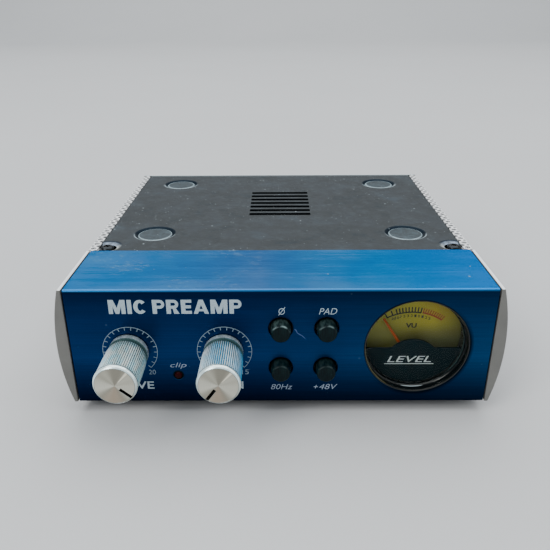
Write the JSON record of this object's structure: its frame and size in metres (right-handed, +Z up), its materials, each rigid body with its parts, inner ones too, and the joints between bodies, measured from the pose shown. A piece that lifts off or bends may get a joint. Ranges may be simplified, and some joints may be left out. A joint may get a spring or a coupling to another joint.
{
  "type": "microphone preamp",
  "caption": "Desktop tube microphone preamp: steel case, blue bezel wrapping the front, turned knobs, push buttons and a round needle level meter, connectors at the rear.",
  "frame": {"origin": "middle of the whole footprint, knobs and rear connectors included, on the surface that the rubber feet stand on", "axes": "+X to the right for someone facing the front panel, +Y from the front panel to the rear panel, +Z up"},
  "size_m": [0.14, 0.1554, 0.0444],
  "materials": {
    "bezel_blue": "blue anodised, lightly brushed, fading from light blue on top to navy on the front",
    "side_silver": "satin silver",
    "case_grey": "grey sheet steel, slightly mottled",
    "foot_rubber": "matt black",
    "knob_metal": "knurled sides, spun face",
    "bright_steel": "nickel plated",
    "dark_metal": "dark grey",
    "black_plastic": "black, slightly glossy",
    "board_green": "green solder mask",
    "ribbon_grey": "grey ribbon",
    "clear_glass": "clear",
    "dial_yellow": "warm yellow card",
    "signal_red": "dark red"
  },
  "bodies": {
    "chassis": {"front_bezel": "bezel_blue", "left_cheek": "side_silver", "right_cheek": "side_silver", "top_cover": "case_grey", "left_side_panel": "side_silver", "right_side_panel": "side_silver", "chassis_tray": "case_grey", "rear_panel": "case_grey", "front_left_foot": "foot_rubber", "front_right_foot": "foot_rubber", "rear_left_foot": "foot_rubber", "rear_right_foot": "foot_rubber", "left_cover_screw": "black_plastic", "right_cover_screw": "black_plastic", "left_rear_screw": "bright_steel", "right_rear_screw": "bright_steel", "drive_pot": "bright_steel", "gain_pot": "bright_steel", "drive_pot_nut": "bright_steel", "gain_pot_nut": "bright_steel", "phase_switch": "black_plastic", "pad_switch": "black_plastic", "lowcut_switch": "black_plastic", "phantom_switch": "black_plastic", "clip_led": "signal_red", "front_board": "board_green", "meter_housing": "black_plastic", "meter_lens": "clear_glass", "meter_dial": "dial_yellow", "meter_mask": "black_plastic", "meter_movement": "bright_steel", "main_board": "board_green", "ribbon_cable": "ribbon_grey", "tube_envelope": "clear_glass", "tube_base": "clear_glass", "tube_plates": "dark_metal", "tube_socket": "black_plastic", "reservoir_capacitor": "black_plastic", "regulator_heatsink": "dark_metal", "mic_in_shell": "bright_steel", "mic_in_insert": "black_plastic", "line_out_shell": "bright_steel", "line_out_insert": "black_plastic", "instrument_jack": "black_plastic", "instrument_jack_nut": "bright_steel", "output_jack": "black_plastic", "output_jack_nut": "bright_steel", "power_inlet": "black_plastic", "power_switch": "black_plastic"},
    "drive_control": {"drive_knob": "knob_metal", "drive_shaft": "bright_steel"},
    "gain_control": {"gain_knob": "knob_metal", "gain_shaft": "bright_steel"},
    "phase_key": {"phase_button": "black_plastic"},
    "pad_key": {"pad_button": "black_plastic"},
    "lowcut_key": {"lowcut_button": "black_plastic"},
    "phantom_key": {"phantom_button": "black_plastic"},
    "needle": {"meter_needle": "signal_red"},
    "latch": {"mic_in_latch": "bright_steel"},
    "rocker": {"power_rocker": "black_plastic"}
  },
  "joints": [
    {"name": "drive_turn", "type": "hinge", "parent": "chassis", "child": "drive_control", "pos_m": [-0.0474, -0.06365, 0.02325], "axis": [0, 1, 0], "range_deg": [-280.6, 19.4]},
    {"name": "gain_turn", "type": "hinge", "parent": "chassis", "child": "gain_control", "pos_m": [-0.0178, -0.06365, 0.02325], "axis": [0, 1, 0], "range_deg": [-6.1, 293.9]},
    {"name": "phase_press", "type": "slide", "parent": "chassis", "child": "phase_key", "axis": [0, 1, 0], "range_m": [0, 0.0025], "stiffness_N_per_m": 300},
    {"name": "pad_press", "type": "slide", "parent": "chassis", "child": "pad_key", "axis": [0, 1, 0], "range_m": [0, 0.0025], "stiffness_N_per_m": 300},
    {"name": "lowcut_press", "type": "slide", "parent": "chassis", "child": "lowcut_key", "axis": [0, 1, 0], "range_m": [0, 0.0025], "stiffness_N_per_m": 300},
    {"name": "phantom_press", "type": "slide", "parent": "chassis", "child": "phantom_key", "axis": [0, 1, 0], "range_m": [0, 0.0025], "stiffness_N_per_m": 300},
    {"name": "needle_swing", "type": "hinge", "parent": "chassis", "child": "needle", "pos_m": [0.0425, -0.05265, 0.01555], "axis": [0, 1, 0], "range_deg": [0, 64], "stiffness_Nm_per_rad": 0.0005},
    {"name": "latch_press", "type": "slide", "parent": "chassis", "child": "latch", "axis": [0, -1, 0], "range_m": [0, 0.0012], "stiffness_N_per_m": 400},
    {"name": "rocker_tilt", "type": "hinge", "parent": "chassis", "child": "rocker", "pos_m": [0.049, 0.07085, 0.02425], "axis": [1, 0, 0], "range_deg": [0, 16]}
  ]
}
